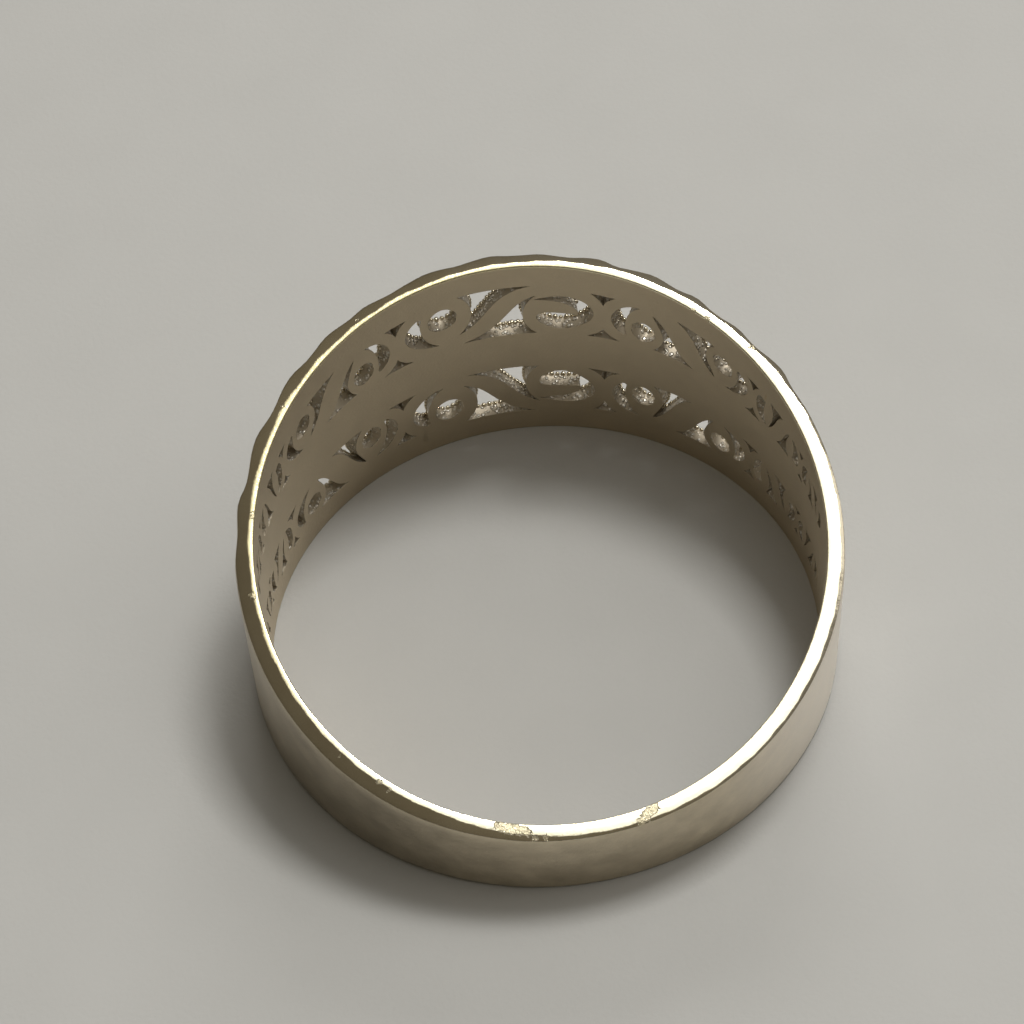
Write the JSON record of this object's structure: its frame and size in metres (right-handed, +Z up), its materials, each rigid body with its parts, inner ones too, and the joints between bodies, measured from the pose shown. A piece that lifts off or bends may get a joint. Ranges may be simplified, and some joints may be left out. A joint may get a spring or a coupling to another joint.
{
  "type": "filigree openwork ring",
  "caption": "Tapered finger ring with scalloped edges, a plain centre band and pierced scrollwork across its wide front, lying on its side.",
  "frame": {"origin": "on the surface that the ring lies on, below the middle of its outline", "axes": "+Z up; +Y towards the wide front of the band; the finger hole leans from +Z towards -Y, and the narrow shank is at -Y"},
  "size_m": [0.0194, 0.0202, 0.0106],
  "materials": {
    "silver": "polished edges, satin finger hole"
  },
  "bodies": {
    "root": {"ring_band": "silver"}
  },
  "joints": []
}
